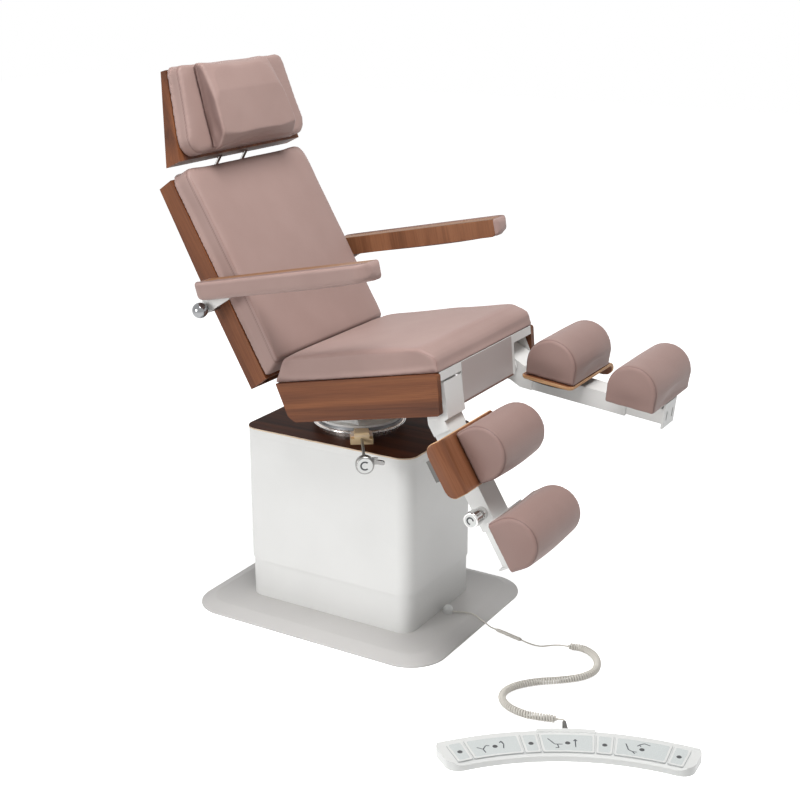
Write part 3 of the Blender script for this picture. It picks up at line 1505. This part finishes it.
@dataclass(frozen=True)
class LegSupport:
    """A leg support: two round-headed pads, a bent plywood wing with a black foot, a tube and its lock.

    The pads lie a little inwards of their tube, as far as the photograph shows their ends.
    """

    side: Side
    calf: tuple[float, float]
    heel: tuple[float, float]
    sheet: float = 9.0
    sheet_top: float = 20.0
    bend: float = 30.0
    half: float = 117.5
    reach: float = -137.0
    start: float = 68.0
    length: float = 144.0

    def roll(self, piece: tuple, along: tuple, ends: tuple, heights: tuple, shop: Workshop) -> None:
        """A pad whose side view is a round-headed block and whose ends are sewn-on panels.

        Args:
            piece: its name, the body it moves with and the solid it stands for.
            along: where it begins along the tube, and its length.
            ends: where it begins and ends across the tube, outwards counted up.
            heights: the height of its flat underside, and its own height over that.
            shop: the workshop.
        """
        (start, length), (base, height) = along, heights
        r, slack = length / 2, 2.5
        near, far = start + slack, start + length - slack
        turn = np.linspace(0, math.pi, 40)
        arch = (r - slack) * np.column_stack([np.cos(turn), np.sin(turn)]) + [start + r, base + height - r]
        foot = box((near, far), (base + 0.3, base + 30), [7, 7, 0, 0], 6)
        shift, half = (ends[0] + ends[1]) / 2, (ends[1] - ends[0]) / 2 - 3
        outline = np.concatenate([foot[:-2], arch])
        pad = Pad(outline, level(shift - half), level(shift + half), 7, 7, 0, (0, 2, 1))
        room = (start - 2, ends[0] - 4, base), (start + length + 2, ends[1] + 4, base + height + 2)
        name, body, node = piece
        Cushion(
            name, body, node, leg_place(self.side), pad.rings(150, 10, 12),
            [Seam(lambda p: np.abs(p[:, 1] - shift) - (half - 4.5))], 0.85,
            Stuffing(), lambda p: p[:, 2] - base, room,
        ).build(shop, shop.finishes.pad_cover)

    def sheet_rings(self) -> np.ndarray:
        """The bent sheet: a profile carried along the tube, with rounded corners and softened edges."""
        edge, top = self.half + self.bend, self.sheet_top
        turn = np.linspace(math.pi / 2, 0, 16)
        circle = np.column_stack([np.cos(turn), np.sin(turn)])
        arc = self.bend * circle + [self.half, top - self.bend]
        flat = np.column_stack([np.linspace(self.reach, self.half, 30, endpoint=False), np.full(30, top)])
        lip = np.column_stack([np.full(5, edge), np.linspace(top - self.bend, top - self.bend - 14, 6)[1:]])
        outer = np.concatenate([flat, arc, lip])
        slope = np.gradient(outer, axis=0)
        normal = unit(np.column_stack([-slope[:, 1], slope[:, 0]]))
        along = lengths(outer)
        cut = 24 * rounding(along[-1] - along, 24) + 8 * rounding(along, 8)
        across = np.array([0.0, 0.012, 0.05, *np.linspace(0.12, 0.88, 12), 0.95, 0.988, 1.0])
        x = self.start + cut[:, None] + (self.length - 2 * cut)[:, None] * across[None]
        rise = 1.2 * np.clip(1 - np.minimum(across, 1 - across) * 60, 0, 1) ** 2
        sides = []
        for line, way in ((outer, -1.0), (outer - normal * self.sheet, 1.0)):
            moved = line[:, None] + way * normal[:, None] * rise[None, :, None]
            sides.append(np.stack([x, moved[..., 0], moved[..., 1]], axis=2))
        return np.concatenate([sides[0], sides[1][:, ::-1]], axis=1)

    def wing(self, shop: Workshop) -> None:
        """The wing's sheet, its rim showing layers, and its black foot."""
        place, s, f = leg_place(self.side), self.side.value, shop.finishes
        rings = self.sheet_rings()
        piece = solid(f"leg_wing_sheet_{s}", rings, place, 50)
        data, m = piece.data, rings.shape[1]
        data.materials.append(f.wing_walnut[self.side])
        data.materials.append(f.wing_edge[self.side])
        index = np.ones(len(data.polygons), np.int32)
        k = np.arange((rings.shape[0] - 1) * m) % m
        half = m // 2
        index[: len(k)] = (k == m - 1) | (k == half - 1) | (k % half < 1) | (k % half > half - 3)
        data.polygons.foreach_set("material_index", index)
        shop.place(piece, f"leg_{s}", f.wing_walnut[self.side], "walnut", (f"leg_wing_{s}",))
        share = np.linspace(0, 1, 40)
        bow = np.column_stack([71 + 137 * share, 11.0 - 5.6 * np.sin(math.pi * share) ** 0.7])
        lens = np.concatenate([bow, np.column_stack([bow[::-1, 0], np.full(40, 11.0)])])[:-1]
        flat = slab_rings(evenly(lens, 120), -131, 112, 0.6)[:, :, [0, 2, 1]]
        foot = solid(f"leg_wing_foot_{s}", flat, place, 40)
        shop.place(foot, f"leg_{s}", f.black, "grey_plastic")

    def build(self, shop: Workshop) -> None:
        """Makes the leg support's pieces and dresses its solids."""
        s, f = self.side.value, shop.finishes
        upper = f"calf_pad_{s}", f"leg_{s}", f"leg_pad_upper_{s}"
        lower = f"heel_pad_{s}", f"leg_slide_{s}", f"leg_pad_lower_{s}"
        self.roll(upper, (70, 146), self.calf, (20, 110), shop)
        self.roll(lower, (299, 139), self.heel, (8, 112), shop)
        self.wing(shop)
        place, end = leg_place(self.side), (280.0, 99.4, -29.0)
        knob_face(shop, f"leg_knob_{s}", f"leg_lock_{s}", place, end, 1, (16.0, 20))
        shop.dress({f"leg_arm_{s}": f.white, f"leg_bar_{s}": f.white})
        shop.dress({f"leg_knob_{s}": f.chrome, f"leg_paddle_{s}": f.grey})


# Foot control


@dataclass(frozen=True)
class FootControl:
    """The foot control's dressing: framed fields round its buttons with line drawings of what they move.

    A drawing's points are how far out from the middle radius and how far along the arc they lie.
    """

    top: float = 22.0
    radius: float = 667.0
    inner: float = 631.0
    outer: float = 709.0
    step: float = 7.3
    wide: float = 5.2
    narrow: float = 1.5
    degree: float = 11.64

    def sector(self, near: float, far: float, low: float, high: float, corner: float) -> np.ndarray:
        """An outline between two arcs and two rays: a rounded rectangle of radii and arcs, turned to x and y.

        Args:
            near: the inner radius.
            far: the outer radius.
            low: the first angle in degrees.
            high: the last angle in degrees.
            corner: the corner radius.
        Returns:
            The outline.
        """
        half = math.radians((high - low) / 2) * self.radius
        flat = evenly(box((near, far), (-half, half), [corner] * 4, 6), 120)
        angle = math.radians((low + high) / 2) + flat[:, 1] / self.radius
        return np.column_stack([flat[:, 0] * np.cos(angle), flat[:, 0] * np.sin(angle)])

    def stroke(self, points: Sequence[Sequence[float]], thick: float = 2.6) -> Skin:
        """A raised line through points given as radius and degrees, as a flat tube."""
        p = evenly(np.array(points, float), 14, closed=False)
        angle, high = np.radians(p[:, 1]), self.top + 1.9
        way = np.column_stack([p[:, 0] * np.cos(angle), p[:, 0] * np.sin(angle), np.full(len(p), high)])
        rings = tube_rings(way, thick / 2, 8)
        rings[..., 2] = high + (rings[..., 2] - high) * 0.35
        return lofted(rings)

    def pictogram(self, number: int) -> list[Skin]:
        """Plain line drawings: a reclining line, a seat on a foot, or a leg rest, each with an arrow.

        Args:
            number: which of the large fields it is for, counted from the middle one.
        Returns:
            The strokes.
        """
        drawings = {
            -2: [[(12, 38), (-6, 30), (-10, 20), (-16, 14)], [(-10, 20), (-10, 10)]],
            0: [[(14, 44), (-4, 30), (-4, 12)], [(-4, 24), (-15, 22), (-15, 30)]],
            2: [[(4, 42), (-4, 30), (6, 20), (4, 12)], [(-4, 30), (-15, 28)]],
        }
        arrows = {
            -2: [(14, 8), (20, -2), (16, -16)],
            0: [(12, -18), (-12, -18)],
            2: [(14, -18), (4, -22), (-8, -18)],
        }
        arrow = arrows[number]
        a, b = arrow[0]
        head = [(a - 5, b - 4), (a, b), (a - 5, b + 4)]
        at = number * self.step
        return [
            self.stroke([(self.radius + 1.35 * far, at + along / self.degree) for far, along in line])
            for line in [*drawings[number], arrow, head]
        ]

    def ribs(self, shop: Workshop) -> None:
        """The relief's ribs: a tapered sleeve that swells and shrinks in turns."""
        along = np.linspace(733.5, 779, 92)
        way = np.column_stack([along, np.zeros(92), np.full(92, 12.0)])
        radius = 7 - 3.4 * (along - 732.3) / 48 + 0.35 + 0.75 * np.sign(np.sin((along - 732) * 1.15))
        piece = solid("relief_ribs", tube_rings(way, radius, 28), FOOT)
        shop.place(piece, "base", shop.finishes.grey, "grey_plastic")

    def build(self, shop: Workshop) -> None:
        """Adds the fields, their rims, the drawings and the relief's ribs, and dresses the solids."""
        self.ribs(shop)
        f = shop.finishes
        rims, frames, fields, ink = [], [], [], []
        layers = (0.0, 0.05, 0.5, rims), (1.0, 0.3, 1.6, frames), (6.0, 1.2, 1.9, fields)
        for k in range(-3, 4):
            half = self.wide if k % 2 == 0 else self.narrow
            at = k * self.step
            for drawn, low, high, skins in layers:
                turn = half + 0.2 - drawn / self.degree
                plan = self.sector(self.inner + drawn, self.outer - drawn, at - turn, at + turn, 4)
                skins.append(lofted(slab_rings(plan, self.top + low, self.top + high, 0.2)))
            if k % 2 == 0:
                ink += self.pictogram(k)
        for name, skins, finish, slot in (
            ("field_rims", rims, f.field_rim, "white_plastic"),
            ("field_frames", frames, f.white_plastic, "white_plastic"),
            ("fields", fields, f.field, "white_plastic"),
            ("field_drawings", ink, f.ink, "grey_plastic"),
        ):
            shop.place(several(name, skins, FOOT), "base", finish, slot)
        shop.dress({"foot_housing": f.white_plastic})
        shop.dress({f"foot_button_{number}": f.button for number in range(1, 8)})


# The whole chair


def main() -> None:
    """Builds the studio and the chair, and writes how big the solids and the looks are."""
    logging.basicConfig(level=logging.INFO, format="%(name)s: %(message)s")
    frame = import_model()
    Studio().build()
    shop = Workshop(frame, Finishes())
    right_leg = LegSupport(Side.RIGHT, calf=(-160, 72), heel=(-158, 106))
    left_leg = LegSupport(Side.LEFT, calf=(-134, 111), heel=(-142, 123))
    arms = Armrest(Side.RIGHT), Armrest(Side.LEFT, tail=18.0, tip=561.0)
    for part in (CordSet(), Column(), Seat(), Back(), Headrest(), *arms, right_leg, left_leg, FootControl()):
        part.build(shop)
        LOG.info("built %s", type(part).__name__)
    LOG.info("%d new pieces", shop.made)


if __name__ == "__main__":
    main()
